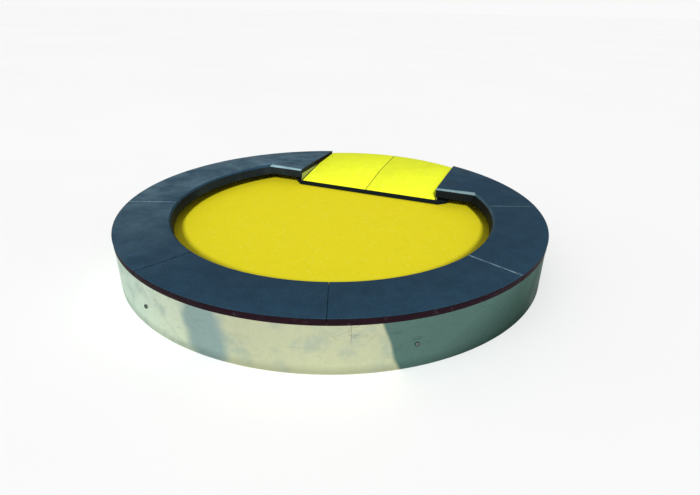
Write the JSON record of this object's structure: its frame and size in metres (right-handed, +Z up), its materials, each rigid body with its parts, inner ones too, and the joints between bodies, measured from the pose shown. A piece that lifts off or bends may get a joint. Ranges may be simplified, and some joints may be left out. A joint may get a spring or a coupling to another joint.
{
  "type": "merry-go-round",
  "caption": "Low round playground merry-go-round: a yellow turning deck set low inside a fixed rubber-topped ring on a galvanised casing, with a wheelchair ramp.",
  "frame": {"origin": "centre of the turning axis at ground level", "axes": "+Z up along the turning axis, +Y from the centre towards the ramp, +X to the right of the ramp as seen from the centre"},
  "size_m": [2.4998, 2.4999, 0.28],
  "materials": {
    "ring_rubber": "matt grained rubber",
    "ramp_rubber": "matt rubber",
    "deck_rubber": "matt rubber with fine flecks",
    "film_faced_board": "phenolic film-faced edge",
    "nose_board": "phenolic film-faced, painted edge",
    "galvanised_sheet": "spangled galvanised sheet",
    "galvanised_steel": "hot-dip galvanised",
    "bearing_steel": "ground",
    "roller_nylon": "machined",
    "deck_plywood": "birch plywood"
  },
  "bodies": {
    "base": {"base_arm_1": "galvanised_steel", "base_arm_2": "galvanised_steel", "base_arm_3": "galvanised_steel", "base_arm_4": "galvanised_steel", "base_arm_5": "galvanised_steel", "base_arm_6": "galvanised_steel", "bearing_inner_race": "bearing_steel", "casing_bolts": "galvanised_steel", "casing_sheet_1": "galvanised_sheet", "casing_sheet_2": "galvanised_sheet", "casing_sheet_3": "galvanised_sheet", "casing_straps": "galvanised_sheet", "lock_ring": "bearing_steel", "pivot_post": "galvanised_steel", "ramp_board": "nose_board", "ramp_nose": "nose_board", "ramp_portal": "galvanised_steel", "ramp_rails": "galvanised_steel", "ramp_side_plate_left": "galvanised_steel", "ramp_side_plate_right": "galvanised_steel", "ramp_tile_left": "ramp_rubber", "ramp_tile_right": "ramp_rubber", "ring_board_1": "film_faced_board", "ring_board_2": "film_faced_board", "ring_board_3": "film_faced_board", "ring_board_4": "film_faced_board", "ring_board_5": "film_faced_board", "ring_board_6": "film_faced_board", "ring_board_7": "film_faced_board", "ring_brackets": "galvanised_steel", "ring_cover_1": "ring_rubber", "ring_cover_2": "ring_rubber", "ring_cover_3": "ring_rubber", "ring_cover_4": "ring_rubber", "ring_cover_5": "ring_rubber", "ring_cover_6": "ring_rubber", "ring_cover_7": "ring_rubber", "ring_infill_left": "ring_rubber", "ring_infill_right": "ring_rubber", "roller_axles": "bearing_steel", "roller_brackets": "galvanised_steel"},
    "turning_deck": {"bearing_outer_race": "bearing_steel", "deck_panel_1": "deck_plywood", "deck_panel_2": "deck_plywood", "deck_spoke_1": "galvanised_steel", "deck_spoke_2": "galvanised_steel", "deck_spoke_3": "galvanised_steel", "deck_spoke_4": "galvanised_steel", "deck_spoke_5": "galvanised_steel", "deck_spoke_6": "galvanised_steel", "deck_surface": "deck_rubber", "hub": "galvanised_steel", "running_track": "galvanised_steel"},
    "ball_set": {"bearing_balls": "bearing_steel"},
    "rim_roller_1_body": {"rim_roller_1": "roller_nylon"},
    "rim_roller_2_body": {"rim_roller_2": "roller_nylon"},
    "rim_roller_3_body": {"rim_roller_3": "roller_nylon"},
    "rim_roller_4_body": {"rim_roller_4": "roller_nylon"},
    "rim_roller_5_body": {"rim_roller_5": "roller_nylon"},
    "rim_roller_6_body": {"rim_roller_6": "roller_nylon"}
  },
  "joints": [
    {"name": "turntable_spin", "type": "hinge", "parent": "base", "child": "turning_deck", "pos_m": [0, 0, 0.128], "axis": [0, 0, 1], "continuous": true},
    {"name": "ball_set_spin", "type": "hinge", "parent": "base", "child": "ball_set", "pos_m": [0, 0, 0.08], "axis": [0, 0, 1], "continuous": true},
    {"name": "rim_roller_1_spin", "type": "hinge", "parent": "base", "child": "rim_roller_1_body", "pos_m": [1.09314, 0.19275, 0.0937], "axis": [0.9848, 0.1736, 0], "continuous": true},
    {"name": "rim_roller_2_spin", "type": "hinge", "parent": "base", "child": "rim_roller_2_body", "pos_m": [0.37964, 1.04306, 0.0937], "axis": [0.342, 0.9397, 0], "continuous": true},
    {"name": "rim_roller_3_spin", "type": "hinge", "parent": "base", "child": "rim_roller_3_body", "pos_m": [-0.71349, 0.85031, 0.0937], "axis": [-0.6428, 0.766, 0], "continuous": true},
    {"name": "rim_roller_4_spin", "type": "hinge", "parent": "base", "child": "rim_roller_4_body", "pos_m": [-1.09314, -0.19275, 0.0937], "axis": [-0.9848, -0.1736, 0], "continuous": true},
    {"name": "rim_roller_5_spin", "type": "hinge", "parent": "base", "child": "rim_roller_5_body", "pos_m": [-0.37964, -1.04306, 0.0937], "axis": [-0.342, -0.9397, 0], "continuous": true},
    {"name": "rim_roller_6_spin", "type": "hinge", "parent": "base", "child": "rim_roller_6_body", "pos_m": [0.71349, -0.85031, 0.0937], "axis": [0.6428, -0.766, 0], "continuous": true}
  ],
  "couplings": [
    {"joint": "ball_set_spin", "follows": "turntable_spin", "ratio": 0.5625},
    {"joint": "rim_roller_1_spin", "follows": "turntable_spin", "ratio": -37},
    {"joint": "rim_roller_2_spin", "follows": "turntable_spin", "ratio": -37},
    {"joint": "rim_roller_3_spin", "follows": "turntable_spin", "ratio": -37},
    {"joint": "rim_roller_4_spin", "follows": "turntable_spin", "ratio": -37},
    {"joint": "rim_roller_5_spin", "follows": "turntable_spin", "ratio": -37},
    {"joint": "rim_roller_6_spin", "follows": "turntable_spin", "ratio": -37}
  ]
}
